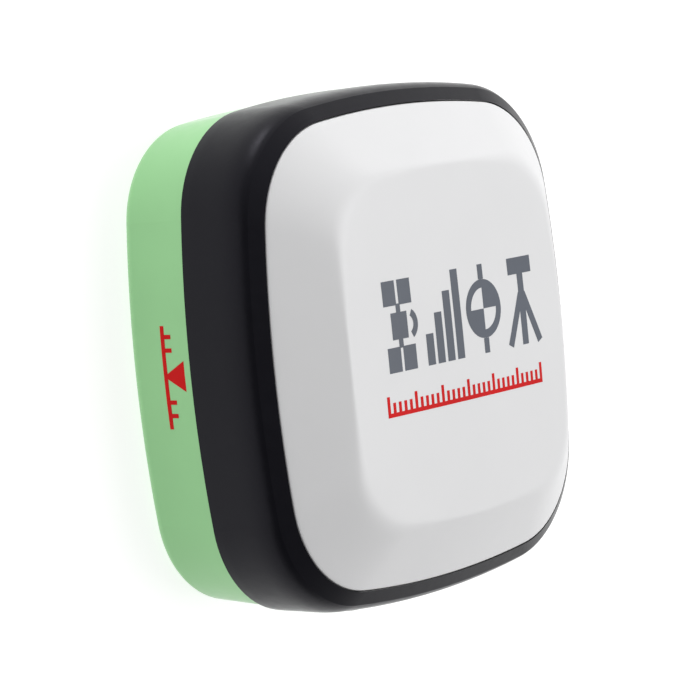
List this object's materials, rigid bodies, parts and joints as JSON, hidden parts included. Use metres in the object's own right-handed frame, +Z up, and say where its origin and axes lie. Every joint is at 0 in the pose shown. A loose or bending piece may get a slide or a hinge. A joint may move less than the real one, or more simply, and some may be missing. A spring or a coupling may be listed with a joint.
{
  "type": "gnss receiver",
  "caption": "Palm-sized smart antenna: white domed radome, dark bumper band, green drafted base, charging port cover, power button and a pole thread below.",
  "frame": {"origin": "centre of the bottom face, on the axis of the pole thread", "axes": "+Z up along the antenna boresight, -Y towards the console with the button and the charging port, +X to the right seen from the console"},
  "size_m": [0.11, 0.1098, 0.0476],
  "materials": {
    "housing_green": "fine satin moulded plastic",
    "bumper_rubber": "matte with a fine grain",
    "radome_white": "smooth satin",
    "frame_black": "glass-filled plastic",
    "seal_rubber": "soft matte",
    "insert_brass": "turned",
    "screw_steel": "stainless",
    "plate_aluminium": "brushed, blank",
    "vent_plastic": "moulded",
    "vent_film": "expanded film",
    "panel_gloss": "polished",
    "button_red": "satin",
    "cover_rubber": "matte with a fine grain",
    "light_clear": "clear",
    "led_white": "moulded",
    "board_green": "solder mask",
    "shield_tin": "tinned",
    "chip_black": "moulded",
    "module_ceramic": "fired",
    "connector_ivory": "moulded",
    "cell_wrap": "shrink wrap",
    "cable_black": "sheath",
    "flex_amber": "film",
    "chassis_aluminium": "stamped",
    "patch_ceramic": "fired",
    "feed_gold": "plated",
    "print_grey": "printed ink",
    "print_red": "printed ink",
    "print_white": "printed ink"
  },
  "bodies": {
    "root": {"base_housing": "housing_green", "bumper_band": "bumper_rubber", "radome": "radome_white", "mid_frame": "frame_black", "lower_gasket": "seal_rubber", "upper_gasket": "seal_rubber", "thread_insert": "insert_brass", "housing_screws": "screw_steel", "housing_inserts": "insert_brass", "rating_plate": "plate_aluminium", "vent_plug": "vent_plastic", "vent_membrane": "vent_film", "control_panel": "panel_gloss", "port_frame": "frame_black", "usb_socket": "screw_steel", "port_cover_pin": "screw_steel", "button_seal": "seal_rubber", "switch_body": "chip_black", "light_pipes": "light_clear", "status_leds": "led_white", "button_board": "board_green", "button_flex": "flex_amber", "main_board": "board_green", "board_standoffs": "insert_brass", "board_screws": "screw_steel", "gnss_shield": "shield_tin", "processor": "chip_black", "radio_module": "shield_tin", "bluetooth_antenna": "module_ceramic", "battery_connector": "connector_ivory", "flex_connector": "connector_ivory", "battery_cells": "cell_wrap", "battery_cradle": "frame_black", "battery_straps": "frame_black", "battery_lead": "cable_black", "antenna_coax": "cable_black", "antenna_chassis": "chassis_aluminium", "lower_patch": "patch_ceramic", "upper_patch": "patch_ceramic", "feed_pins": "feed_gold", "antenna_board": "board_green", "antenna_shield": "shield_tin", "chassis_screws": "screw_steel", "radome_screws": "screw_steel"},
    "cover": {"port_cover": "cover_rubber", "port_cover_seal": "seal_rubber"},
    "button": {"power_button": "button_red", "switch_plunger": "connector_ivory"}
  },
  "joints": [
    {"name": "port_cover_hinge", "type": "hinge", "parent": "root", "child": "cover", "pos_m": [-0.015, -0.0527, 0.0221], "axis": [1, 0, 0], "range_deg": [0, 95]},
    {"name": "power_button_press", "type": "slide", "parent": "root", "child": "button", "axis": [0, 1, 0], "range_m": [0, 0.0006], "stiffness_N_per_m": 2500}
  ]
}
